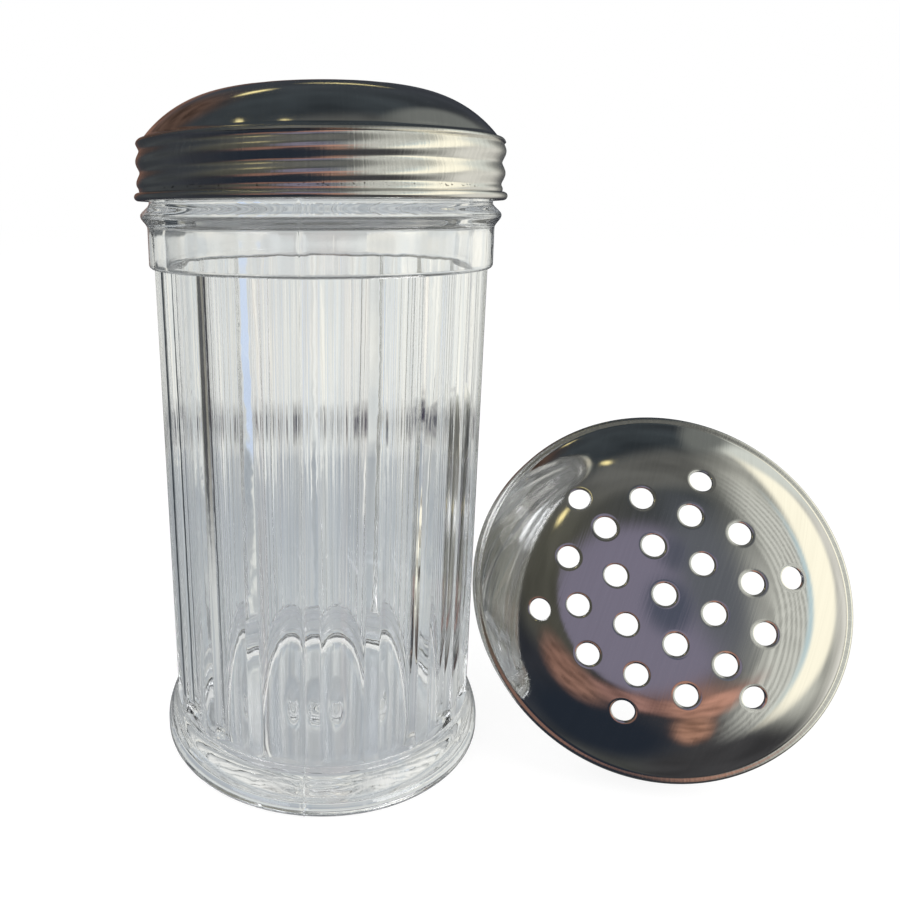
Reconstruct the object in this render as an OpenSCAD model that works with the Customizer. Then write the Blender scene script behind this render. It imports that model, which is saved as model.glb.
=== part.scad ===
// Table shaker: a fluted clear jar with a perforated screw lid, and a spare lid set down beside it.
// Millimetres, +Z up. The origin is on the jar's axis, on the surface that the jar stands on.
// The front faces -Y.

/* [Jar] */
// Height of the jar from its foot to its rim
jar_h = 131.6; // [125:0.1:160]
// Radius of the neck that the lid screws on to, without its thread
neck_r = 35.2; // [32:0.1:40]
// Radius that rounds the outer edge of the rim
rim_edge_r = 1.2; // [0.6:0.05:1.4]
// How far the swelled ring under the lid stands out of the neck
swell_out = 1.8; // [1:0.05:2.4]
// Height of the swelled ring
swell_h = 5; // [3:0.1:6]
// Gap between the swelled ring and the lid's rolled edge
swell_gap = 0.4; // [0.2:0.05:1]
// How far the smooth collar stands out of the neck
collar_out = 0.5; // [0.1:0.05:0.9]
// Height of the collar, from its lower edge to the swelled ring
collar_h = 8; // [5:0.1:20]
// Radius that rounds the collar's lower edge
collar_edge_r = 0.9; // [0.5:0.05:0.9]
// How far the top of the body lies inside the collar
body_step = 1.05; // [0.95:0.05:1.5]
// How much narrower the body's radius is above the foot than under the collar
body_draft = 0.95; // [0:0.05:2]
// How far the rounded foot stands out of the body
foot_out = 2.4; // [1.5:0.1:4]
// Radius that rounds the foot's lower corner
foot_corner_r = 2.2; // [1:0.1:3]
// Height of the foot's upright edge, above its rounded corner
foot_edge_h = 1.2; // [0.6:0.1:3]
// Height over which the foot sweeps in to the body
foot_sweep_h = 9; // [8:0.5:14]

/* [Inside of the jar] */
// Thickness of the neck's wall
neck_t = 2.9; // [2.2:0.1:3.8]
// Thickness of the body's wall at the floor, between the flutes
body_t = 3.1; // [2.4:0.1:4]
// Thickness of the floor
floor_t = 4.2; // [3:0.1:8]
// Radius that rounds the inside corner at the floor
floor_corner_r = 5; // [2:0.5:8]
// Depth of the hollow under the floor
kick_h = 1.2; // [0.6:0.1:2]
// Width of the flat ring that the jar stands on
foot_ring_w = 3; // [2:0.1:5]

/* [Flutes] */
// Number of flutes round the jar
flutes = 18; // [12:1:20]
// Width of a flute, measured across its edges
flute_w = 8.6; // [6:0.1:9.4]
// Depth of a flute below the body's surface
flute_depth = 1.3; // [0.6:0.05:1.4]
// Height of the ledge at the lower end of each flute
flute_z = 10.9; // [9:0.1:20]
// Turn of a flute's middle from the front, to the right
flute_turn = -13; // [-20:0.5:20]

/* [Lid] */
// Room between the neck and the inside of the lid's skirt, which holds the thread
thread_room = 1.2; // [1:0.05:1.6]
// Thickness of the lid's sheet
sheet_t = 0.6; // [0.4:0.05:0.8]
// Diameter of the rolled edge
curl_d = 1.6; // [1.3:0.05:2.2]
// Height of the skirt, from the middle of the rolled edge to the shoulder crease
skirt_h = 11.1; // [10.6:0.1:14]
// How far the shoulder crease lies inside the skirt
crease_in = 1.1; // [0.9:0.05:1.2]
// Rolled rings in the skirt
skirt_rings = 3; // [1:1:3]
// How far a rolled ring stands out of the skirt
ring_rise = 0.5; // [0.2:0.05:0.7]
// Height of one rolled ring
ring_h = 2.6; // [1.6:0.1:3]
// Distance from the shoulder crease down to the middle of the highest ring
ring_drop = 1.9; // [1.7:0.05:2.2]
// Distance from the middle of the rolled edge up to the middle of the lowest ring
ring_foot = 2; // [1.8:0.05:2.4]
// Slope of the dome at the shoulder crease
crease_slope = 52; // [44:1:58]
// Radius, from above, of the flatter crown inside the shoulder
crown_edge_r = 20; // [17:0.5:22]
// Radius to which the crown is domed
crown_dome_r = 150; // [120:5:220]
// Gap between the jar's rim and the dome over it
rim_gap = 0.3; // [0.2:0.05:0.5]

/* [Holes] */
// Diameter of a pouring hole
hole_d = 4.4; // [3:0.1:6]
// Distance between neighbouring holes
hole_pitch = 9.6; // [8:0.1:10.8]
// Rings of holes round the middle one
hole_rings = 2; // [1:1:2]
// Distance of the spare lid's six outermost holes from its middle one
outer_hole_r = 24.2; // [23:0.1:27]

/* [Spare lid] */
// Turn of the spare lid's face from the front, to the left
spare_turn = 13; // [0:1:20]
// Lean of the spare lid, back from upright
spare_lean = 24; // [0:1:30]
// Roll of the spare lid about its own axis
spare_roll = -17; // [-30:1:30]
// Distance of the spare lid's middle in front of the jar's axis
spare_ahead = 7; // [0:0.5:20]
// Gap between the spare lid and the jar
spare_gap = 0.4; // [0.3:0.1:0.8]

/* [Hidden] */
$fn = 120;
// Steps in one rounded edge or swept stretch of an outline
steps = 8;
// Extra length of a cut past the surface that it opens
past = 1;

// Lid, measured from the middle of its rolled edge
skirt_in_r = neck_r + thread_room;
skirt_r = skirt_in_r + sheet_t;
curl_r = skirt_in_r + curl_d / 2;
crease_r = skirt_r - crease_in;
crown_slope = asin(crown_edge_r / crown_dome_r);
shoulder_arc_r = (crease_r - crown_edge_r) / (sin(crease_slope) - sin(crown_slope));
crown_drop = crown_dome_r * (1 - cos(crown_slope));
shoulder_drop = shoulder_arc_r * (cos(crown_slope) - cos(crease_slope));
dome_top = skirt_h + shoulder_drop + crown_drop;
shoulder_mid = [crown_edge_r - shoulder_arc_r * sin(crown_slope),
                skirt_h - shoulder_arc_r * cos(crease_slope)];

// The rim's rounded edge lies rim_gap inside the shoulder's lower face
rim_reach = shoulder_arc_r - sheet_t - rim_edge_r - rim_gap;
rim_offset = neck_r - rim_edge_r - shoulder_mid[0];
rim_in_lid = shoulder_mid[1] + sqrt(pow(rim_reach, 2) - pow(rim_offset, 2)) + rim_edge_r;
lid_z = jar_h - rim_in_lid;

// Distance between neighbouring rolled rings
ring_pitch = (skirt_h - ring_drop - ring_foot) / max(skirt_rings - 1, 1);

// Jar
swell_r = neck_r + swell_out;
collar_r = neck_r + collar_out;
body_top_r = collar_r - body_step;
body_foot_r = body_top_r - body_draft;
foot_r = body_foot_r + foot_out;
mouth_r = neck_r - neck_t;
floor_r = body_foot_r - body_t;
kick_r = foot_r - foot_corner_r - foot_ring_w;
swell_top = lid_z - curl_d / 2 - swell_gap;
collar_top = swell_top - swell_h;
collar_z = collar_top - collar_h;
foot_top = foot_corner_r + foot_edge_h;
sweep_top = foot_top + foot_sweep_h;
body_taper = atan((body_top_r - body_foot_r) / (collar_z - sweep_top));

// Flute cutter: a round bar through both edges of the flute and its deepest line
flute_edge_r = sqrt(pow(body_foot_r, 2) - pow(flute_w / 2, 2));
flute_sink = flute_edge_r - body_foot_r + flute_depth;
flute_bar_r = (pow(flute_w / 2, 2) + pow(flute_sink, 2)) / (2 * flute_sink);

// Radius of the body between its flutes, at a height
function body_r(z) = body_foot_r + (body_top_r - body_foot_r) * (z - sweep_top) / (collar_z - sweep_top);

// Radius that the jar reaches at a height below its collar
function jar_reach(z) = z < sweep_top ? foot_r : body_r(z);

// Directions along the spare lid: across its face, up its face and out of its dome
spare_across = [cos(spare_turn), -sin(spare_turn), 0];
spare_up = [sin(spare_lean) * sin(spare_turn), sin(spare_lean) * cos(spare_turn), cos(spare_lean)];
spare_out = cross(spare_across, spare_up);

// Circles of the lid that come nearest the jar: radius, height over the rolled edge and thickness round the circle
lid_circles = [[curl_r, 0, curl_d / 2], [skirt_r + ring_rise, skirt_h - ring_drop, 0]];

// The spare lid stands on its rolled edge, as near the jar's right side as spare_gap lets it
spare_z = curl_r * cos(spare_lean) + curl_d / 2;
spare_x = max([for (circle = lid_circles, a = [90:5:270])
    let (p = circle[0] * (cos(a) * spare_across + sin(a) * spare_up) + circle[1] * spare_out,
         reach = jar_reach(spare_z + p[2]) + circle[2] + spare_gap)
    sqrt(max(pow(reach, 2) - pow(p[1] - spare_ahead, 2), 0)) - p[0]]);

// Points of an arc from angle a to angle b, measured from +X
function arc(mid, r, a, b) =
    [for (i = [0:steps]) mid + r * [cos(a + (b - a) * i / steps), sin(a + (b - a) * i / steps)]];

// An S-shaped sweep from p to q that leaves and arrives upright
function sweep(p, q) =
    [for (i = [0:steps]) [p[0] + (q[0] - p[0]) * (1 - cos(180 * i / steps)) / 2,
                          p[1] + (q[1] - p[1]) * i / steps]];

function reversed(points) = [for (i = [len(points) - 1:-1:0]) points[i]];

function unit(v) = v / norm(v);

// The inner face of a sheet of thickness t, from its outer face's points, level at the middle and upright at the foot
function inner_face(points, t) =
    [for (i = [0:len(points) - 1])
        let (last = len(points) - 1,
             run = i == 0 ? [1, 0] : i == last ? [0, -1] : unit(points[i + 1] - points[i - 1]))
        points[i] + t * [run[1], -run[0]]];

// Outer face of the dome at a slope: the crown up to crown_slope, then the shoulder
function dome_point(slope) =
    slope <= crown_slope
    ? [crown_dome_r * sin(slope), dome_top - crown_dome_r * (1 - cos(slope))]
    : shoulder_mid + shoulder_arc_r * [sin(slope), cos(slope)];

// Outer face of one rolled ring round the skirt, from its top down
function ring_points(z) =
    [for (i = [0:steps]) [skirt_r + ring_rise * (1 - cos(360 * i / steps)) / 2, z + ring_h * (0.5 - i / steps)]];

module jar_outside() {
    rotate_extrude()
        polygon(concat(
            [[0, 0]],
            arc([foot_r - foot_corner_r, foot_corner_r], foot_corner_r, -90, 0),
            sweep([foot_r, foot_top], [body_foot_r, sweep_top]),
            [[body_top_r, collar_z]],
            arc([collar_r - collar_edge_r, collar_z + collar_edge_r], collar_edge_r, -90, 0),
            sweep([collar_r, collar_top], [swell_r, collar_top + swell_h / 2]),
            sweep([swell_r, collar_top + swell_h / 2], [neck_r, swell_top]),
            arc([neck_r - rim_edge_r, jar_h - rim_edge_r], rim_edge_r, 0, 90),
            [[0, jar_h]]));
}

module jar_inside() {
    rotate_extrude()
        polygon(concat(
            [[0, floor_t]],
            arc([floor_r - floor_corner_r, floor_t + floor_corner_r], floor_corner_r, -90, 0),
            [[mouth_r, jar_h], [mouth_r, jar_h + past], [0, jar_h + past]]));
}

module flute_cuts() {
    intersection() {
        for (i = [0:flutes - 1])
            rotate([0, 0, flute_turn - 90 + i * 360 / flutes])
                translate([body_foot_r - flute_depth + flute_bar_r, 0, sweep_top])
                    rotate([0, body_taper, 0])
                        translate([0, 0, -sweep_top])
                            cylinder(r = flute_bar_r, h = jar_h);
        translate([0, 0, flute_z])
            cylinder(r = foot_r + flute_bar_r, h = collar_z - flute_z);
    }
}

// The moulded jar, open at the rim and hollow under its floor
module jar() {
    color([0.86, 0.87, 0.9, 0.4])
        difference() {
            jar_outside();
            jar_inside();
            flute_cuts();
            translate([0, 0, -past])
                cylinder(r = kick_r, h = kick_h + past);
        }
}

// Outer face of the lid, from the middle of the dome down to the rolled edge
lid_face = concat(
    [for (i = [0:steps]) dome_point(crown_slope * i / steps)],
    [for (i = [1:2 * steps]) dome_point(crown_slope + (crease_slope - crown_slope) * i / (2 * steps))],
    [for (k = [0:skirt_rings - 1]) each ring_points(skirt_h - ring_drop - k * ring_pitch)],
    [[skirt_r, 0]]);

module hole_cut(r, around) {
    slope = r <= crown_edge_r ? asin(r / crown_dome_r) : asin((r - shoulder_mid[0]) / shoulder_arc_r);
    rotate([0, 0, around])
        translate([r, 0, dome_point(slope)[1]])
            rotate([0, slope, 0])
                cylinder(d = hole_d, h = 2 * (sheet_t + past), center = true);
}

// One hole in the middle and full rings round it, on a triangular grid
module crown_holes() {
    hole_cut(0, 0);
    for (ring = [1:hole_rings], side = [0:5], step = [0:ring - 1]) {
        place = ring * [1, 0] + step * [-0.5, sqrt(3) / 2];
        hole_cut(hole_pitch * norm(place), 60 * side + atan2(place[1], place[0]));
    }
}

// Six holes in the shoulder, outside the middle of the grid's flat sides
module shoulder_holes() {
    for (side = [0:5])
        hole_cut(outer_hole_r, 60 * side + 30);
}

// A pressed sheet lid with its crown holes, measured from the middle of its rolled edge
module shaker_lid() {
    difference() {
        union() {
            rotate_extrude()
                polygon(concat(lid_face, reversed(inner_face(lid_face, sheet_t))));
            rotate_extrude()
                translate([curl_r, 0])
                    circle(d = curl_d, $fn = 24);
        }
        crown_holes();
    }
}

module screw_lid() {
    color("silver")
        translate([0, 0, lid_z])
            shaker_lid();
}

module spare_lid() {
    color("silver")
        translate([spare_x, -spare_ahead, spare_z])
            rotate([90 - spare_lean, 0, -spare_turn])
                rotate([0, 0, spare_roll])
                    difference() {
                        shaker_lid();
                        shoulder_holes();
                    }
}

jar();
screw_lid();
spare_lid();
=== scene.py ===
import math

import bmesh
import bpy
from mathutils import Matrix, Vector, noise


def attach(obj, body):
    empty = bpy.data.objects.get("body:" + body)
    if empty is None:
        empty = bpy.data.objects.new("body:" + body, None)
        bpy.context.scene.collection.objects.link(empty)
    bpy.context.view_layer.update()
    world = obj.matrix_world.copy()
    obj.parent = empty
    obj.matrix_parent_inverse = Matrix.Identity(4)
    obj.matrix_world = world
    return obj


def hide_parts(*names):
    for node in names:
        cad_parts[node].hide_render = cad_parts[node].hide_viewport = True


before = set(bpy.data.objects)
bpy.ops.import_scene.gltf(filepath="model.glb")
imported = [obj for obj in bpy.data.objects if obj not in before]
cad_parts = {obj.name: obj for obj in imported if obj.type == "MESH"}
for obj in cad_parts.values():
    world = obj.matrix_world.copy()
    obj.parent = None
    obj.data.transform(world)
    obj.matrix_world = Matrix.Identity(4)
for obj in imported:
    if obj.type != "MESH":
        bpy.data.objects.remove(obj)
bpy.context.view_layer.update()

MM = 0.001

# Sizes in millimetres, as in the solids. The origin is on the jar's axis, on the surface that it stands on.

# Jar
JAR_H = 131.6
NECK_R = 35.2
RIM_EDGE_R = 1.2
RIM_INNER_EDGE_R = 0.6
MOUTH_R = 32.3
SWELL_R = 37.0
SWELL_TOP = 119.085
SWELL_H = 5.0
COLLAR_R = 35.7
COLLAR_EDGE_R = 0.9
COLLAR_Z = 106.085
BODY_TOP_R = 34.65
BODY_FOOT_R = 33.7
SWEEP_TOP = 12.4
FOOT_R = 36.1
FOOT_TOP = 3.4
FOOT_CORNER_R = 2.2
FOOT_RING_W = 3.0
KICK_H = 1.2
FLOOR_R = 30.6
FLOOR_T = 4.2
FLOOR_CORNER_R = 5.0
GATE_R = 2.4
GATE_STEP = 0.35

# Flutes
FLUTES = 18
FLUTE_Z = 10.9
FLUTE_DEPTH = 1.3
FLUTE_BAR_R = 9.536
FLUTE_TURN = -13.0
FLUTE_EDGE_TURN = 7.33
FLUTE_EDGE_ROUND = 0.06

# Mould marks
SEAM_RISE = 0.16
SEAM_HALF = math.radians(0.34)
SEAM_TURN = -103.0 + FLUTE_EDGE_TURN
WALL_WAVE = 0.06

# Lid, measured from the middle of its rolled edge
LID_Z = 120.285
SHEET_T = 0.4
CURL_D = 1.6
CURL_R = 37.2
SKIRT_R = 37.0
SKIRT_H = 11.1
CREASE_R = 35.9
CREASE_SLOPE = math.radians(52)
CROWN_EDGE_R = 20.0
CROWN_DOME_R = 150.0
DOME_TOP = 21.557
SHOULDER_ARC_R = 24.287
SHOULDER_MID = (16.762, -3.852)

# Thread, right-handed, rolled into the lid's skirt and moulded on the jar's neck
THREAD_PITCH = 4.15
THREAD_LOW = 2.4
THREAD_LOW_TURN = math.pi
SKIRT_RIDGE_R = 37.42
SKIRT_VALLEY_R = 36.7
NECK_THREAD_RISE = 0.95
NECK_THREAD_W = 2.4
NECK_THREAD_TURNS = 1.5

# Holes
HOLE_D = 4.4
HOLE_PITCH = 9.6
HOLE_RINGS = 2
OUTER_HOLE_R = 24.2
HOLE_SEGMENTS = 32
# Rings of the pressed-in edge round a hole: distance from the hole, depth below the dome
HOLE_EDGE = ((0.75, 0.0), (0.4, 0.015), (0.16, 0.06), (0.0, 0.16))

# Spare lid
SPARE_TURN = -13.0
SPARE_LEAN = 24.0
SPARE_ROLL = -17.0
SPARE_MIDDLE = (72.124, -7.0, 34.784)

JAR_COLUMNS = 18
LID_COLUMNS = 192
BLANK_R = 33.0
BLANK_SQUARE = 0.9


def smooth(x):
    """Goes smoothly from 0 at 0 to 1 at 1."""
    x = min(max(x, 0.0), 1.0)
    return x * x * (3 - 2 * x)


def arc(mid, r, start, end, steps=8):
    """Points of an arc, its angles in degrees from outwards."""
    turns = [math.radians(start + (end - start) * i / steps) for i in range(steps + 1)]
    return [(mid[0] + r * math.cos(a), mid[1] + r * math.sin(a)) for a in turns]


def sweep(p, q, steps=10):
    """Points of an S-shaped sweep that leaves p and reaches q upright."""
    parts = [i / steps for i in range(steps + 1)]
    return [(p[0] + (q[0] - p[0]) * (1 - math.cos(math.pi * t)) / 2, p[1] + (q[1] - p[1]) * t) for t in parts]


def upright(bottom, top, steps):
    """Points of a straight wall between two points."""
    parts = [i / steps for i in range(steps + 1)]
    return [(bottom[0] + (top[0] - bottom[0]) * t, bottom[1] + (top[1] - bottom[1]) * t) for t in parts]


def new_piece(name, bm, material, sharp=40, place=None):
    """Makes the bmesh, in millimetres, a smooth-shaded object in metres that sits at the origin."""
    if bm.calc_volume(signed=True) < 0:
        bmesh.ops.reverse_faces(bm, faces=bm.faces)
    bmesh.ops.transform(bm, matrix=(place or Matrix()), verts=bm.verts)
    bmesh.ops.scale(bm, vec=(MM, MM, MM), verts=bm.verts)
    mesh = bpy.data.meshes.new(name)
    bm.to_mesh(mesh)
    bm.free()
    mesh.shade_smooth()
    mesh.set_sharp_from_angle(angle=math.radians(sharp))
    mesh.materials.append(material)
    piece = bpy.data.objects.new(name, mesh)
    bpy.context.collection.objects.link(piece)
    return piece


# Jar


def body_r(z):
    """Radius of the body between its flutes."""
    return BODY_FOOT_R + (BODY_TOP_R - BODY_FOOT_R) * (z - SWEEP_TOP) / (COLLAR_Z - SWEEP_TOP)


def flute_r(z, turn):
    """Radius of a flute's surface, at an angle from the flute's middle."""
    bar_mid = body_r(z) - FLUTE_DEPTH + FLUTE_BAR_R
    return bar_mid * math.cos(turn) - math.sqrt(FLUTE_BAR_R ** 2 - (bar_mid * math.sin(turn)) ** 2)


def softer_min(a, b, blend):
    """The smaller of two values, rounded over where they meet."""
    h = max(blend - abs(a - b), 0) / blend
    return min(a, b) - h * h * blend / 4


def neck_thread(z, angle):
    """How far the thread stands out of the neck."""
    rise = 0.0
    first_turn = (angle - THREAD_LOW_TURN) / math.tau
    for turn in (first_turn, first_turn + 1, first_turn + 2):
        into = min(turn, NECK_THREAD_TURNS - turn)
        away = abs(z - LID_Z - THREAD_LOW - THREAD_PITCH * turn)
        rise = max(rise, smooth(into * 8) * smooth(2 * (1 - 2 * away / NECK_THREAD_W)))
    return NECK_THREAD_RISE * rise


def jar_rows():
    """The jar's outline as rows of (radius, height, kind), from the middle of its underside to the middle of its floor."""
    kick_r = FOOT_R - FOOT_CORNER_R - FOOT_RING_W
    collar_top = SWELL_TOP - SWELL_H
    swell_mid = collar_top + SWELL_H / 2
    underside = [(GATE_R - 0.3, KICK_H - GATE_STEP), (GATE_R, KICK_H), (12, KICK_H), (22, KICK_H)]
    underside += arc((kick_r - 0.8, KICK_H - 0.4), 0.4, 90, 0, 3) + [(kick_r, 0.3), (kick_r + 0.3, 0)]
    foot = arc((FOOT_R - FOOT_CORNER_R, FOOT_CORNER_R), FOOT_CORNER_R, -90, 0)
    swept = sweep((FOOT_R, FOOT_TOP), (BODY_FOOT_R, SWEEP_TOP), 24)
    below = [p for p in swept if p[1] < FLUTE_Z - 0.3]
    above = [p for p in swept if p[1] > FLUTE_Z + 0.3]
    ledge_r = BODY_FOOT_R + (FOOT_R - BODY_FOOT_R) * (1 + math.cos(
        math.pi * (FLUTE_Z - FOOT_TOP) / (SWEEP_TOP - FOOT_TOP))) / 2
    ledge = [(ledge_r + 0.01, FLUTE_Z - 0.15), (ledge_r, FLUTE_Z)]
    fluted = [(ledge_r, FLUTE_Z + 0.03), (ledge_r, FLUTE_Z + 0.15)] + above
    fluted += upright((BODY_FOOT_R, SWEEP_TOP), (BODY_TOP_R, COLLAR_Z), 36)[1:-1]
    fluted += [(BODY_TOP_R, COLLAR_Z - 0.15), (BODY_TOP_R, COLLAR_Z - 0.03)]
    collar = arc((COLLAR_R - COLLAR_EDGE_R, COLLAR_Z + COLLAR_EDGE_R), COLLAR_EDGE_R, -90, 0)
    collar += upright((COLLAR_R, COLLAR_Z + COLLAR_EDGE_R), (COLLAR_R, collar_top), 4)[1:-1]
    swell = sweep((COLLAR_R, collar_top), (SWELL_R, swell_mid), 10)
    swell += sweep((SWELL_R, swell_mid), (NECK_R, SWELL_TOP), 10)[1:]
    neck = upright((NECK_R, SWELL_TOP), (NECK_R, JAR_H - RIM_EDGE_R), 36)[1:]
    rim = arc((NECK_R - RIM_EDGE_R, JAR_H - RIM_EDGE_R), RIM_EDGE_R, 0, 90)[1:]
    rim += arc((MOUTH_R + RIM_INNER_EDGE_R, JAR_H - RIM_INNER_EDGE_R), RIM_INNER_EDGE_R, 90, 180, 5)
    corner = (FLOOR_R - FLOOR_CORNER_R, FLOOR_T + FLOOR_CORNER_R)
    inside = upright((MOUTH_R, JAR_H - RIM_INNER_EDGE_R), (FLOOR_R, corner[1]), 40)[1:]
    inside += arc(corner, FLOOR_CORNER_R, 0, -90, 12)[1:]
    inside += [(20, FLOOR_T), (12, FLOOR_T), (4, FLOOR_T)]
    rows = []
    for points, kind in ((underside, "plain"), (foot + below + ledge, "seam"), (fluted, "fluted"),
                         (collar + swell, "seam"), (neck, "neck"), (rim, "plain"), (inside, "inside")):
        rows += [(r, z, kind) for r, z in points]
    return rows


def jar_column(column):
    """The angle of a column of points: close together at a flute's edges."""
    edge = FLUTE_EDGE_TURN
    steps = [-edge - 0.5, -edge, -edge + 0.45]
    steps += [(edge - 1.6) * (i - 4) / 4 for i in range(9)]
    steps += [edge - 0.45, edge - 0.2, edge, edge + 0.2, edge + 0.5, 180 / FLUTES]
    flute, step = divmod(column, len(steps))
    return math.radians(FLUTE_TURN - 90 + flute * 360 / FLUTES + steps[step])


def jar_point(row, angle):
    """A point of the jar's surface."""
    r, z, kind = row
    pitch = math.tau / FLUTES
    turn = (angle - math.radians(FLUTE_TURN - 90) + pitch / 2) % pitch - pitch / 2
    if kind == "fluted":
        r = softer_min(r, flute_r(z, turn), FLUTE_EDGE_ROUND)
    if kind in ("seam", "fluted"):
        off_seam = (angle - math.radians(SEAM_TURN) + math.pi / 2) % math.pi - math.pi / 2
        behind = 0 < math.sin(angle)
        r += SEAM_RISE * (0.2 if behind else 1) * smooth(1 - abs(off_seam) / SEAM_HALF)
    if kind == "neck":
        r += neck_thread(z, angle)
    if kind == "inside" and z > FLOOR_T + 0.01:
        wave = noise.noise(Vector((math.cos(angle) * 7, math.sin(angle) * 7, z / 60)))
        r += WALL_WAVE * wave * smooth((JAR_H - 4 - z) / 10)
    return (r * math.cos(angle), r * math.sin(angle), z)


def jar_mesh():
    """The moulded jar, as one closed skin of rows and columns."""
    rows = jar_rows()
    columns = FLUTES * JAR_COLUMNS
    bm = bmesh.new()
    bmesh.ops.create_circle(bm, cap_ends=True, cap_tris=True, segments=columns, radius=1)
    ring = [e for e in bm.edges if e.is_boundary]
    for _ in rows[1:]:
        added = bmesh.ops.extrude_edge_only(bm, edges=ring)["geom"]
        bmesh.ops.translate(bm, vec=(0, 0, 1), verts=[g for g in added if isinstance(g, bmesh.types.BMVert)])
        ring = [g for g in added if isinstance(g, bmesh.types.BMEdge) and g.is_boundary]
    floor = bmesh.ops.edgeloop_fill(bm, edges=ring)["faces"]
    bmesh.ops.poke(bm, faces=floor)
    for v in bm.verts:
        row = rows[round(v.co.z)]
        if v.co.xy.length < 0.5:
            v.co = (0, 0, row[1])
            continue
        column = round(math.atan2(v.co.y, v.co.x) % math.tau / (math.tau / columns)) % columns
        v.co = jar_point(row, jar_column(column))
    bmesh.ops.recalc_face_normals(bm, faces=bm.faces)
    return bm


# Lids


def dome_slope(r):
    """Slope of the dome at a distance from its middle."""
    return math.asin(r / CROWN_DOME_R) if r <= CROWN_EDGE_R else math.asin((r - SHOULDER_MID[0]) / SHOULDER_ARC_R)


def dome_z(r):
    """Height of the dome at a distance from its middle."""
    slope = dome_slope(r)
    if r <= CROWN_EDGE_R:
        return DOME_TOP - CROWN_DOME_R * (1 - math.cos(slope))
    return SHOULDER_MID[1] + SHOULDER_ARC_R * math.cos(slope)


def dome_normal(x, y):
    slope = dome_slope(math.hypot(x, y))
    around = math.atan2(y, x)
    return Vector((math.sin(slope) * math.cos(around), math.sin(slope) * math.sin(around), math.cos(slope)))


def crown_holes():
    """Middles of one hole and full rings round it, on a triangular grid."""
    holes = [Vector((0, 0))]
    for ring in range(1, HOLE_RINGS + 1):
        for side in range(6):
            for step in range(ring):
                place = Vector((ring - step * 0.5, step * math.sqrt(3) / 2)) * HOLE_PITCH
                holes.append(Matrix.Rotation(math.radians(60 * side), 2) @ place)
    return holes


def shoulder_holes():
    """Middles of six holes in the shoulder."""
    turns = [math.radians(60 * side + 30) for side in range(6)]
    return [Vector((math.cos(a), math.sin(a))) * OUTER_HOLE_R for a in turns]


def edges_near(bm, middle, reach):
    """The open edges that lie within reach of a point, seen from above."""
    return [e for e in bm.edges if (e.is_boundary or e.is_wire)
            and all((v.co.xy - middle).length < reach for v in e.verts)]


def punched_blank(bm, holes):
    """A flat blank of small squares with round holes. A hole's rings lie below it by the depth of its pressed edge."""
    squares = round(2 * BLANK_R / BLANK_SQUARE)
    bmesh.ops.create_grid(bm, x_segments=squares, y_segments=squares, size=BLANK_R)
    clear = HOLE_D / 2 + HOLE_EDGE[0][0] + 0.4 * BLANK_SQUARE
    outside = [v for v in bm.verts if v.co.length > BLANK_R - 0.5 * BLANK_SQUARE]
    inside_hole = [v for v in bm.verts if any((v.co.xy - h).length < clear for h in holes)]
    bmesh.ops.delete(bm, geom=list(set(outside + inside_hole)), context="VERTS")
    for hole in holes:
        outward = math.atan2(hole.y, hole.x)
        squash = Matrix.Diagonal((math.cos(dome_slope(hole.length)), 1, 1, 1))
        place = (Matrix.Translation(hole.to_3d()) @ Matrix.Rotation(outward, 4, "Z") @ squash
                 @ Matrix.Rotation(-outward, 4, "Z"))
        ring = bmesh.ops.create_circle(bm, segments=HOLE_SEGMENTS, radius=HOLE_D / 2 + HOLE_EDGE[0][0])["verts"]
        bmesh.ops.transform(bm, matrix=place, verts=ring)
        fill_edges = edges_near(bm, hole, clear + 1.5 * BLANK_SQUARE)
        bmesh.ops.triangle_fill(bm, edges=fill_edges, use_beauty=True, normal=(0, 0, 1))
        edge = edges_near(bm, hole, clear)
        for (reach, depth), (was, was_depth) in zip(HOLE_EDGE[1:], HOLE_EDGE):
            added = bmesh.ops.extrude_edge_only(bm, edges=edge)["geom"]
            verts = [g for g in added if isinstance(g, bmesh.types.BMVert)]
            share = (HOLE_D / 2 + reach) / (HOLE_D / 2 + was)
            bmesh.ops.scale(bm, vec=(share, share, 1), space=Matrix.Translation(-hole.to_3d()), verts=verts)
            bmesh.ops.translate(bm, vec=(0, 0, was_depth - depth), verts=verts)
            edge = [g for g in added if isinstance(g, bmesh.types.BMEdge) and g.is_boundary]
    bmesh.ops.create_circle(bm, segments=LID_COLUMNS, radius=BLANK_R)
    rim = [e for e in bm.edges if (e.is_boundary or e.is_wire) and max(v.co.length for v in e.verts) > BLANK_R - 2.5]
    bmesh.ops.triangle_fill(bm, edges=rim, use_beauty=True, normal=(0, 0, 1))


def skirt_thread_r(z, angle):
    """Radius of the skirt's outer face, with the thread rolled into it."""
    phase = (z - THREAD_LOW) / THREAD_PITCH - (angle - THREAD_LOW_TURN) / math.tau
    ridge = (0.5 + 0.5 * math.cos(math.tau * phase)) ** 0.75
    rolled = SKIRT_VALLEY_R + (SKIRT_RIDGE_R - SKIRT_VALLEY_R) * ridge
    share = smooth((z - 1.1) / 1.0)
    return SKIRT_R * (1 - share) + rolled * share


def skirt_rows():
    """Rows of the skirt from the shoulder crease down its outer face, round the rolled edge and up its inner face."""
    fillet = [(36.15, 11.02), (36.5, 10.97), (36.85, 10.85), (37.12, 10.6), (37.27, 10.25)]
    heights = [9.95 - 0.25 * i for i in range(36)]
    rows = [(r, z, 1) for r, z in fillet]
    rows += [(None, z, 1) for z in heights]
    rows += [(r, z, 1) for r, z in arc((CURL_R, 0), CURL_D / 2, 112, -165, 16)]
    rows += [(None, z, 0) for z in reversed(heights)]
    rows += [(r, z, 0) for r, z in reversed(fillet[1:])]
    return rows


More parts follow.
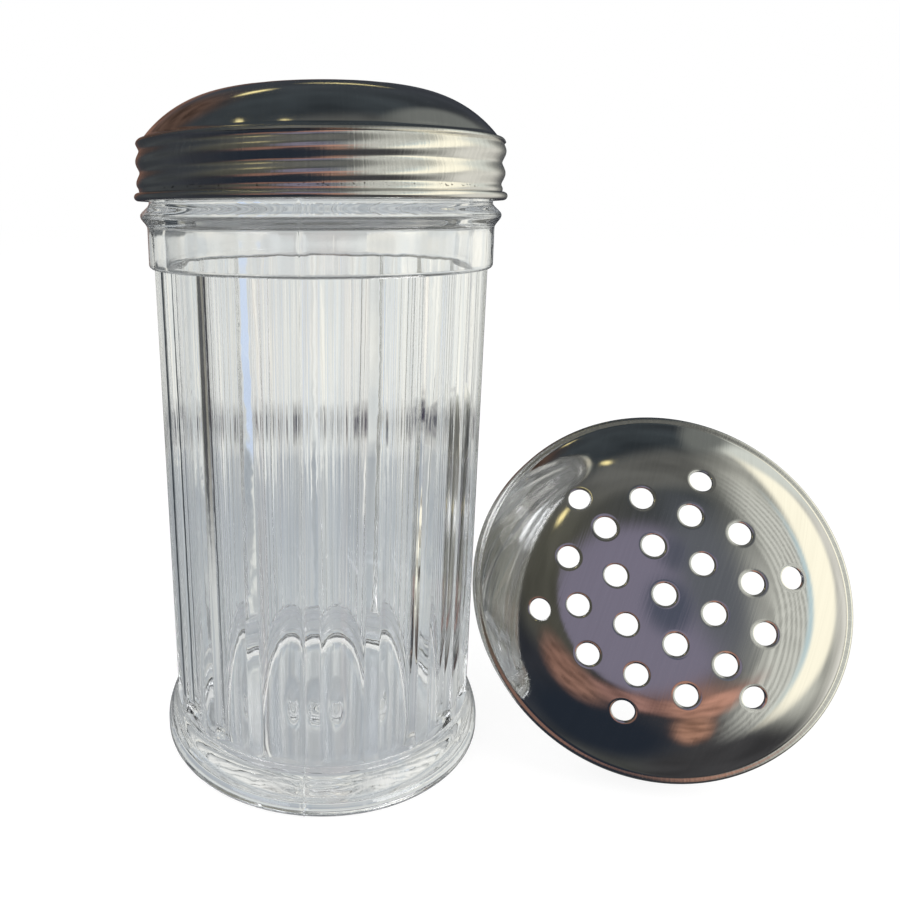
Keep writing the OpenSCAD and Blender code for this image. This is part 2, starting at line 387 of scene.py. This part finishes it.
def skirt_point(row, angle):
    r, z, outer = row
    r = skirt_thread_r(z, angle) if r is None else r
    if not outer:
        r -= SHEET_T
        z -= SHEET_T * smooth((z - 9.5) / 1.4)
    return (r * math.cos(angle), r * math.sin(angle), z)


def lid_mesh(holes):
    """A pressed lid, measured from the middle of its rolled edge: punched dome, threaded skirt and rolled edge."""
    bm = bmesh.new()
    punched_blank(bm, holes)
    border = [e for e in bm.edges if e.is_boundary and min(v.co.length for v in e.verts) > BLANK_R - 0.1]
    for i in range(1, 8):
        added = bmesh.ops.extrude_edge_only(bm, edges=border)["geom"]
        verts = [g for g in added if isinstance(g, bmesh.types.BMVert)]
        step = (BLANK_R + (CREASE_R - BLANK_R) * i / 7) / (BLANK_R + (CREASE_R - BLANK_R) * (i - 1) / 7)
        bmesh.ops.scale(bm, vec=(step, step, 1), verts=verts)
        border = [g for g in added if isinstance(g, bmesh.types.BMEdge) and g.is_boundary]
    for v in bm.verts:
        v.co = Vector((v.co.x, v.co.y, dome_z(v.co.xy.length))) + dome_normal(*v.co.xy) * v.co.z
    bmesh.ops.recalc_face_normals(bm, faces=bm.faces)
    if sum(f.normal.z for f in bm.faces) < 0:
        bmesh.ops.reverse_faces(bm, faces=bm.faces)
    inner = bmesh.ops.duplicate(bm, geom=bm.verts[:] + bm.edges[:] + bm.faces[:])["geom"]
    bmesh.ops.reverse_faces(bm, faces=[g for g in inner if isinstance(g, bmesh.types.BMFace)])
    for v in (g for g in inner if isinstance(g, bmesh.types.BMVert)):
        v.co -= dome_normal(*v.co.xy) * SHEET_T
    for hole in holes:
        bmesh.ops.bridge_loops(bm, edges=edges_near(bm, hole, HOLE_D / 2 + 0.3))
    crease = sorted((e for e in bm.edges if e.is_boundary), key=lambda e: -e.verts[0].co.z - e.verts[1].co.z)
    border = [e for e in crease if max(v.co.xy.length for v in e.verts) > CREASE_R - 0.1]
    inner_border = [e for e in crease if e not in set(border)]
    for row in skirt_rows():
        added = bmesh.ops.extrude_edge_only(bm, edges=border)["geom"]
        for v in (g for g in added if isinstance(g, bmesh.types.BMVert)):
            v.co = skirt_point(row, math.atan2(v.co.y, v.co.x))
        border = [g for g in added if isinstance(g, bmesh.types.BMEdge) and g.is_boundary]
    bmesh.ops.bridge_loops(bm, edges=border + inner_border)
    bmesh.ops.recalc_face_normals(bm, faces=bm.faces)
    return bm


def true_dome(piece, place):
    """Gives the dome's outer face its exact normals, so that it reflects without ripples."""
    mesh = piece.data
    back = place.inverted()
    turn = place.to_3x3()
    zero = Vector((0, 0, 0))
    exact = []
    for v in mesh.vertices:
        p = back @ (v.co / MM)
        r = p.xy.length
        on_dome = r < CREASE_R - 0.01 and abs(p.z - dome_z(r)) < 0.001
        exact.append(turn @ dome_normal(p.x, p.y) if on_dome else zero)
    corners = []
    for face in mesh.polygons:
        for i in face.vertices:
            corners.append(exact[i] if exact[i].length > 0.5 and exact[i].dot(face.normal) > 0.5 else zero)
    mesh.normals_split_custom_set(corners)


# Materials


def link(tree, out, into):
    tree.links.new(out, into)


def node(tree, kind, inputs=None, **settings):
    """A new shader node with its settings and its inputs, each a value or another node's output."""
    made = tree.nodes.new(kind)
    for name, value in settings.items():
        setattr(made, name, value)
    for name, value in (inputs or {}).items():
        if isinstance(value, bpy.types.NodeSocket):
            tree.links.new(value, made.inputs[name])
        else:
            made.inputs[name].default_value = value
    return made


def mixed(tree, share, below, above):
    """One colour over another, each a colour or another node's output."""
    return node(tree, "ShaderNodeMix", {0: share, 6: below, 7: above}, data_type="RGBA").outputs[2]


def new_material(name):
    material = bpy.data.materials.new(name)
    material.use_nodes = True
    tree = material.node_tree
    return material, tree, tree.nodes["Principled BSDF"]


def clear_plastic():
    """Clear moulded plastic with a faint cool tint."""
    material, tree, surface = new_material("clear_plastic")
    surface.inputs["Base Color"].default_value = (0.955, 0.962, 0.975, 1)
    surface.inputs["Transmission Weight"].default_value = 1
    surface.inputs["IOR"].default_value = 1.55
    place = node(tree, "ShaderNodeTexCoord").outputs["Object"]
    wave = node(tree, "ShaderNodeTexNoise", {"Vector": place, "Scale": 160.0, "Detail": 2.0})
    rough = node(tree, "ShaderNodeMapRange", {"Value": wave.outputs["Fac"], "To Min": 0.0, "To Max": 0.03})
    bump = node(tree, "ShaderNodeBump", {"Height": wave.outputs["Fac"], "Strength": 0.03, "Distance": 0.001})
    link(tree, rough.outputs["Result"], surface.inputs["Roughness"])
    link(tree, bump.outputs["Normal"], surface.inputs["Normal"])
    return material


def lid_steel(name, place):
    """Bright rolled steel sheet: straight rolling grain on the dome, fine upright drawing lines on the skirt."""
    material, tree, surface = new_material(name)
    surface.inputs["Metallic"].default_value = 1
    coords = node(tree, "ShaderNodeTexCoord").outputs["Object"]
    where = place.to_translation() * MM
    local = node(tree, "ShaderNodeMapping", {"Vector": coords, "Location": where, "Rotation": place.to_euler()},
                 vector_type="TEXTURE").outputs["Vector"]
    split = node(tree, "ShaderNodeSeparateXYZ", {"Vector": local}).outputs
    around = node(tree, "ShaderNodeMath", {0: split["Y"], 1: split["X"]}, operation="ARCTAN2").outputs[0]
    lines_at = node(tree, "ShaderNodeCombineXYZ", {"X": around, "Z": split["Z"]}).outputs[0]
    lines_map = node(tree, "ShaderNodeMapping", {"Vector": lines_at, "Scale": (90.0, 1.0, 40.0)}).outputs[0]
    lines = node(tree, "ShaderNodeTexNoise", {"Vector": lines_map, "Scale": 1.0, "Detail": 4.0}).outputs["Fac"]
    grain_map = node(tree, "ShaderNodeMapping", {"Vector": local, "Scale": (2200.0, 30.0, 30.0)}).outputs[0]
    grain = node(tree, "ShaderNodeTexNoise", {"Vector": grain_map, "Scale": 1.0, "Detail": 3.0}).outputs["Fac"]
    on_skirt = node(tree, "ShaderNodeMapRange", {
        "Value": split["Z"], "From Min": (SKIRT_H + 0.2) * MM, "From Max": SKIRT_H * MM}).outputs["Result"]
    height = node(tree, "ShaderNodeMix", {0: on_skirt, 2: grain, 3: lines}).outputs[0]
    dome_rough = node(tree, "ShaderNodeMapRange", {"Value": grain, "To Min": 0.05, "To Max": 0.13}).outputs["Result"]
    skirt_rough = node(tree, "ShaderNodeMapRange", {"Value": lines, "To Min": 0.10, "To Max": 0.16}).outputs["Result"]
    rough = node(tree, "ShaderNodeMix", {0: on_skirt, 2: dome_rough, 3: skirt_rough}).outputs[0]
    depth = node(tree, "ShaderNodeMapRange", {"Value": on_skirt, "To Min": 0.012, "To Max": 0.08}).outputs["Result"]
    bump = node(tree, "ShaderNodeBump", {"Height": height, "Strength": depth, "Distance": 0.0004})
    drawn = node(tree, "ShaderNodeMath", {0: on_skirt, 1: 1.0}, operation="MULTIPLY").outputs[0]
    facing = node(tree, "ShaderNodeNewGeometry").outputs["Normal"]
    axis = place.to_3x3() @ Vector((0, 0, 1))
    round_it = node(tree, "ShaderNodeVectorMath", {0: axis, 1: facing}, operation="CROSS_PRODUCT").outputs[0]
    # Near-black specks in a narrow band just above the rolled edge, on both faces of the skirt.
    above_edge = node(tree, "ShaderNodeMath", {0: split["Z"], 1: 1.5 * MM, 2: 0.3 * MM},
                      operation="COMPARE").outputs[0]
    specks_map = node(tree, "ShaderNodeMapping", {"Vector": local, "Scale": (1500.0, 1500.0, 2600.0)}).outputs[0]
    specks = node(tree, "ShaderNodeTexNoise", {"Vector": specks_map, "Scale": 1.0, "Detail": 1.0}).outputs["Fac"]
    speck_share = node(tree, "ShaderNodeMapRange", {
        "Value": specks, "From Min": 0.62, "From Max": 0.7, "To Max": 0.8}).outputs["Result"]
    low_band_specks = node(tree, "ShaderNodeMath", {0: speck_share, 1: above_edge}, operation="MULTIPLY").outputs[0]
    rolled = mixed(tree, grain, (0.58, 0.57, 0.55, 1), (0.66, 0.65, 0.63, 1))
    brushed = mixed(tree, lines, (0.54, 0.53, 0.51, 1), (0.74, 0.73, 0.70, 1))
    bare = mixed(tree, on_skirt, rolled, brushed)
    colour = node(tree, "ShaderNodeMix", {0: low_band_specks, 6: bare, 7: (0.08, 0.07, 0.06, 1)},
                  data_type="RGBA").outputs[2]
    link(tree, colour, surface.inputs["Base Color"])
    link(tree, rough, surface.inputs["Roughness"])
    link(tree, drawn, surface.inputs["Anisotropic"])
    link(tree, round_it, surface.inputs["Tangent"])
    link(tree, bump.outputs["Normal"], surface.inputs["Normal"])
    return material


# Pieces

jar = new_piece("jar_shell", jar_mesh(), clear_plastic(), sharp=60)
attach(jar, "jar")
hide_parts("jar")

lid_place = Matrix.Translation((0, 0, LID_Z))
closed_lid = new_piece("lid_shell", lid_mesh(crown_holes()), lid_steel("lid_steel", lid_place), place=lid_place)
true_dome(closed_lid, lid_place)
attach(closed_lid, "screw_lid")
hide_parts("screw_lid")

spare_place = (Matrix.Translation(SPARE_MIDDLE)
               @ Matrix.Rotation(math.radians(SPARE_TURN), 4, "Z")
               @ Matrix.Rotation(math.radians(90 - SPARE_LEAN), 4, "X")
               @ Matrix.Rotation(math.radians(SPARE_ROLL), 4, "Z"))
spare_lid = new_piece("spare_lid_shell", lid_mesh(crown_holes() + shoulder_holes()),
                      lid_steel("spare_lid_steel", spare_place), place=spare_place)
true_dome(spare_lid, spare_place)
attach(spare_lid, "spare_lid")
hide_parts("spare_lid")


# Studio


def seen_by(thing, camera=False, diffuse=False, glossy=False, transmission=False, shadow=False):
    thing.visible_camera = camera
    thing.visible_diffuse = diffuse
    thing.visible_glossy = glossy
    thing.visible_transmission = transmission
    thing.visible_shadow = shadow


def patch(tree, below, toward, size, colour, soft=0.3, turn=0.0):
    """Lays a soft oval of colour over a room. It lies toward an azimuth, from the front to the right, and a height."""
    azimuth, height = (math.radians(a) for a in toward)
    view = node(tree, "ShaderNodeTexCoord").outputs["Generated"]
    straight = (Matrix.Rotation(math.radians(turn), 3, "Y") @ Matrix.Rotation(-height, 3, "X")
                @ Matrix.Rotation(math.pi - azimuth, 3, "Z"))
    ahead = node(tree, "ShaderNodeMapping", {"Vector": view, "Rotation": straight.to_euler()}).outputs[0]
    split = node(tree, "ShaderNodeSeparateXYZ", {"Vector": ahead}).outputs
    across = node(tree, "ShaderNodeMath", {0: split["X"], 1: split["Y"]}, operation="ARCTAN2").outputs[0]
    up = node(tree, "ShaderNodeMath", {0: split["Z"]}, operation="ARCSINE").outputs[0]
    flat = node(tree, "ShaderNodeCombineXYZ", {"X": across, "Y": up}).outputs[0]
    scale = (1 / math.radians(size[0]), 1 / math.radians(size[1]), 0)
    sized = node(tree, "ShaderNodeMapping", {"Vector": flat, "Scale": scale}).outputs[0]
    away = node(tree, "ShaderNodeVectorMath", {0: sized}, operation="LENGTH").outputs["Value"]
    share = node(tree, "ShaderNodeMapRange", {"Value": away, "From Min": 1 + soft, "From Max": 1 - soft},
                 interpolation_type="SMOOTHSTEP").outputs["Result"]
    return mixed(tree, share, below, colour if isinstance(colour, bpy.types.NodeSocket) else colour + (1,))


def by_height(tree, stops, shift=0.0):
    """Colours by the height of the view, in degrees. A shift in radians lowers them."""
    view = node(tree, "ShaderNodeTexCoord").outputs["Generated"]
    split = node(tree, "ShaderNodeSeparateXYZ", {"Vector": view}).outputs
    height = node(tree, "ShaderNodeMath", {0: split["Z"]}, operation="ARCSINE").outputs[0]
    up = node(tree, "ShaderNodeMath", {0: height, 1: shift}, operation="ADD").outputs[0]
    share = node(tree, "ShaderNodeMapRange", {
        "Value": up, "From Min": -math.pi / 2, "From Max": math.pi / 2}).outputs["Result"]
    ramp = node(tree, "ShaderNodeValToRGB", {"Fac": share})
    points = ramp.color_ramp.elements
    while len(points) < len(stops):
        points.new(0.5)
    for point, (height, colour) in zip(points, stops):
        point.position = height / 180 + 0.5
        point.color = colour + (1,)
    return ramp.outputs["Color"]


def streaks(tree, scale, low, high, span=(0.35, 0.65)):
    """Light and dark noise over the view, stretched by its scale."""
    view = node(tree, "ShaderNodeTexCoord").outputs["Generated"]
    sized = node(tree, "ShaderNodeMapping", {"Vector": view, "Scale": scale}).outputs[0]
    fac = node(tree, "ShaderNodeTexNoise", {"Vector": sized, "Scale": 1.0, "Detail": 2.0}).outputs["Fac"]
    return node(tree, "ShaderNodeMapRange", {
        "Value": fac, "From Min": span[0], "From Max": span[1], "To Min": low, "To Max": high}).outputs["Result"]


def scaled(tree, colour, level):
    """A colour made lighter or darker."""
    return node(tree, "ShaderNodeVectorMath", {0: colour, "Scale": level}, operation="SCALE").outputs[0]


def curtain(tree):
    """Wavy upright folds of light and shade, to the right of the front."""
    view = node(tree, "ShaderNodeTexCoord").outputs["Generated"]
    turned = node(tree, "ShaderNodeMapping", {"Vector": view, "Rotation": (0, 0, math.radians(125))}).outputs[0]
    wave = node(tree, "ShaderNodeTexWave", {"Vector": turned, "Scale": 4.0, "Distortion": 5.0, "Detail": 2.0,
                                            "Detail Scale": 0.6}).outputs["Fac"]
    return node(tree, "ShaderNodeMapRange", {"Value": wave, "To Min": 0.55, "To Max": 1.25}).outputs["Result"]


def room_in_steel(tree):
    """The dim room that the steel mirrors: dark on the left, a cream window on the right."""
    room = by_height(tree, ((-90, (0.10, 0.105, 0.10)), (-50, (0.05, 0.055, 0.068)), (-5, (0.036, 0.04, 0.052)),
                            (20, (0.055, 0.06, 0.072)), (60, (0.062, 0.075, 0.085)), (90, (0.045, 0.055, 0.065))))
    room = patch(tree, room, (0, 68), (49, 19), (0.165, 0.168, 0.16), soft=0.5, turn=-19)
    room = patch(tree, room, (-44, 23), (34, 27), (0.12, 0.12, 0.10), soft=0.5)
    room = patch(tree, room, (78, 10), (60, 50), (0.66, 0.67, 0.61), soft=0.3)
    room = patch(tree, room, (82, -62), (70, 22), (0.07, 0.07, 0.075), soft=0.3)
    room = patch(tree, room, (114, -13), (25, 34), (0.95, 0.94, 0.87), soft=0.4)
    room = patch(tree, room, (-112, -1), (34, 21), (0.07, 0.078, 0.085), soft=0.6)
    room = scaled(tree, room, streaks(tree, (3.0, 3.0, 2.0), 0.78, 1.18))
    folds = scaled(tree, (0.86, 0.88, 0.82), curtain(tree))
    room = patch(tree, room, (44, 10), (24, 42), folds, soft=0.35, turn=15)
    room = patch(tree, room, (77, 9), (16.5, 48), (1.58, 1.52, 1.26), soft=0.25, turn=38)
    room = patch(tree, room, (118, 27), (9, 24), (0.95, 1.0, 0.94), soft=0.5)
    room = patch(tree, room, (131, 46), (7, 24), (0.23, 0.245, 0.235), soft=0.4, turn=-26)
    room = patch(tree, room, (57, 8), (3, 28), (0.72, 0.94, 1.02), soft=0.8, turn=24)
    room = patch(tree, room, (-7, 19), (18.5, 18), (0.28, 0.26, 0.355), soft=0.12)
    room = patch(tree, room, (9, 25), (6, 16), (0.165, 0.178, 0.205), soft=0.5, turn=-10)
    room = patch(tree, room, (-1, 20), (4.5, 5.5), (0.11, 0.125, 0.18), soft=0.4)
    room = patch(tree, room, (1, 31), (2.8, 3.5), (0.13, 0.14, 0.19), soft=0.4)
    room = patch(tree, room, (-32, -46), (34, 24), (0.026, 0.035, 0.052), soft=0.4, turn=-30)
    skin_streaks = streaks(tree, (9.0, 9.0, 16.0), 0.6, 1.35)
    for toward, size, colour, turn in (((-4, -6), (24, 7), (0.40, 0.22, 0.19), -8),
                                       ((8, -7), (9, 10), (0.66, 0.35, 0.26), -10),
                                       ((10, -27), (6, 13), (0.50, 0.27, 0.19), -14),
                                       ((-34, -10), (13, 13), (0.36, 0.20, 0.155), 30),
                                       ((-145, 30), (14, 16), (0.115, 0.072, 0.056), 0),
                                       ((-163, 8), (17, 11), (0.24, 0.13, 0.095), 0)):
        room = patch(tree, room, toward, size, scaled(tree, colour, skin_streaks), soft=0.5, turn=turn)
    for toward, size in (((-47, 44), (2.0, 3.6)), ((-72, 77), (2.6, 1.6)), ((-163, 44), (3.6, 1.4)),
                         ((176, 35), (5, 0.8)), ((-101, 62), (4.5, 1.2))):
        room = patch(tree, room, toward, size, (1.8, 1.55, 0.75), soft=0.6)
    return room


def backdrop_in_jar(tree):
    """The pale wall and table that show through the clear plastic, with a smudged dark line where they meet."""
    spikes = streaks(tree, (15.0, 15.0, 1.0), 0.0, 0.085, span=(0.5, 0.68))
    pale = by_height(tree, ((-90, (0.47, 0.49, 0.505)), (-45, (0.49, 0.51, 0.52)), (-37, (0.43, 0.45, 0.465)),
                            (-32, (0.51, 0.53, 0.54)), (-28, (0.585, 0.61, 0.615)),
                            (-17.4, (0.50, 0.525, 0.55)), (-16.2, (0.92, 0.92, 0.875)), (6, (0.88, 0.88, 0.84)),
                            (20, (0.47, 0.49, 0.49)), (90, (0.42, 0.43, 0.43))), shift=spikes)
    line = by_height(tree, ((-90, (0, 0, 0)), (-16.8, (0, 0, 0)), (-15.8, (1, 1, 1)), (-14.6, (1, 1, 1)),
                            (-13.5, (0, 0, 0)), (90, (0, 0, 0))))
    clusters = streaks(tree, (5.0, 5.0, 3.0), -0.1, 2.0)
    grains = streaks(tree, (30.0, 30.0, 30.0), 0.45, 1.1)
    cloud = node(tree, "ShaderNodeMath", {0: clusters, 1: grains}, operation="MULTIPLY", use_clamp=True).outputs[0]
    smudge = node(tree, "ShaderNodeMath", {0: line, 1: cloud}, operation="MULTIPLY", use_clamp=True).outputs[0]
    backdrop = mixed(tree, smudge, pale, (0.06, 0.06, 0.09, 1))
    tints = mixed(tree, streaks(tree, (6.0, 6.0, 4.0), 0.0, 1.0, span=(0.42, 0.58)),
                  (0.86, 0.89, 0.91, 1), (1.10, 1.08, 1.03, 1))
    tints = scaled(tree, tints, streaks(tree, (15.0, 15.0, 0.8), 0.88, 1.12))
    level = by_height(tree, ((-90, (0, 0, 0)), (-60, (0, 0, 0)), (-36, (0.6, 0.6, 0.6)), (-28, (1, 1, 1)),
                             (10, (1, 1, 1)), (30, (0, 0, 0)), (90, (0, 0, 0))))
    tints = mixed(tree, level, (1, 1, 1, 1), tints)
    backdrop = node(tree, "ShaderNodeVectorMath", {0: backdrop, 1: tints}, operation="MULTIPLY").outputs[0]
    for toward, size, colour, soft in (((-60, 6), (54, 34), (0.26, 0.26, 0.22), 0.15),
                                       ((-146, 5), (16, 7.5), (0.17, 0.18, 0.18), 0.15),
                                       ((180, 4), (5.5, 7), (0.60, 0.61, 0.59), 0.2),
                                       ((180, 50), (30, 15), (0.90, 0.90, 0.86), 0.3),
                                       ((-134, -46), (9, 12), (0.92, 0.92, 0.86), 0.4),
                                       ((122, 5), (6, 7.5), (0.34, 0.36, 0.36), 0.3),
                                       ((-119, -8), (7.5, 32), (0.035, 0.045, 0.055), 0.3),
                                       ((-97, -9), (4.5, 15), (0.06, 0.07, 0.075), 0.3),
                                       ((-146, -32), (3.0, 12), (0.30, 0.31, 0.31), 0.4),
                                       ((146, -12), (1.2, 12), (0.30, 0.30, 0.29), 0.4),
                                       ((104, -6), (3.0, 34), (0.22, 0.24, 0.25), 0.4),
                                       ((-172.3, -24), (0.45, 8), (0.85, 0.86, 0.80), 0.4),
                                       ((-172.3, -10.5), (0.85, 7.2), (0.71, 0.82, 1.0), 0.2)):
        backdrop = patch(tree, backdrop, toward, size, colour, soft=soft)
    return backdrop


def make_world():
    """White behind, dim grey for soft light, and what the steel and the plastic show."""
    world = bpy.data.worlds.new("pale_room")
    bpy.context.scene.world = world
    world.use_nodes = True
    world.cycles.sampling_method = "NONE"
    tree = world.node_tree
    path = node(tree, "ShaderNodeLightPath").outputs
    colour = mixed(tree, path["Is Glossy Ray"], (0.6, 0.6, 0.6, 1), room_in_steel(tree))
    colour = mixed(tree, path["Is Transmission Ray"], colour, backdrop_in_jar(tree))
    colour = mixed(tree, path["Is Camera Ray"], colour, (1, 1, 1, 1))
    link(tree, colour, tree.nodes["Background"].inputs["Color"])


def make_floor():
    """A white floor that keeps a soft shadow."""
    bm = bmesh.new()
    bmesh.ops.create_grid(bm, x_segments=1, y_segments=1, size=6000)
    material, tree, surface = new_material("pale_floor")
    surface.inputs["Base Color"].default_value = (0.9, 0.9, 0.9, 1)
    surface.inputs["Roughness"].default_value = 0.9
    glow = node(tree, "ShaderNodeEmission", {"Color": (1, 1, 1, 1), "Strength": 1.12}).outputs[0]
    view = node(tree, "ShaderNodeLightPath").outputs["Is Camera Ray"]
    share = node(tree, "ShaderNodeMath", {0: view, 1: 0.8}, operation="MULTIPLY").outputs[0]
    white = node(tree, "ShaderNodeMixShader", {0: share, 1: surface.outputs[0], 2: glow}).outputs[0]
    link(tree, white, tree.nodes["Material Output"].inputs["Surface"])
    floor = new_piece("floor", bm, material)
    seen_by(floor, camera=True, diffuse=True, shadow=True)


def lamp(name, place, size, power, colour):
    light = bpy.data.lights.new(name, "AREA")
    light.shape = "DISK"
    light.size = size
    light.energy = power
    light.color = colour
    thing = bpy.data.objects.new(name, light)
    thing.location = place
    thing.rotation_euler = (Vector((0, 0, 0.07)) - Vector(place)).to_track_quat("-Z", "Y").to_euler()
    thing.visible_glossy = False
    bpy.context.collection.objects.link(thing)


def make_camera():
    """The camera stands in front, a little above the jar's rim, and looks down a little."""
    camera = bpy.data.cameras.new("camera")
    camera.sensor_width = 36
    camera.lens = 804.459 * 36 / 900
    camera.shift_x = (450 - 322) / 900
    camera.shift_y = (390 - 450) / 900
    camera.clip_start = 0.001
    thing = bpy.data.objects.new("camera", camera)
    bpy.context.collection.objects.link(thing)
    thing.matrix_world = (Matrix.Translation((0.001115, -0.172474, 0.117293))
                          @ Matrix.Rotation(math.radians(0.331), 4, "Z")
                          @ Matrix.Rotation(math.radians(90 - 12.473), 4, "X")
                          @ Matrix.Rotation(math.radians(-0.186), 4, "Z"))
    bpy.context.scene.camera = thing


make_world()
make_floor()
lamp("window_lamp", (0.9, -0.5, 0.8), 0.8, 9, (1.0, 0.98, 0.95))
lamp("room_lamp", (-0.8, -0.6, 1.0), 0.9, 6, (0.95, 0.97, 1.0))
make_camera()
bpy.context.scene.view_settings.view_transform = "Standard"
bpy.context.scene.cycles.max_bounces = 32
bpy.context.scene.cycles.transmission_bounces = 32
bpy.context.scene.cycles.glossy_bounces = 32
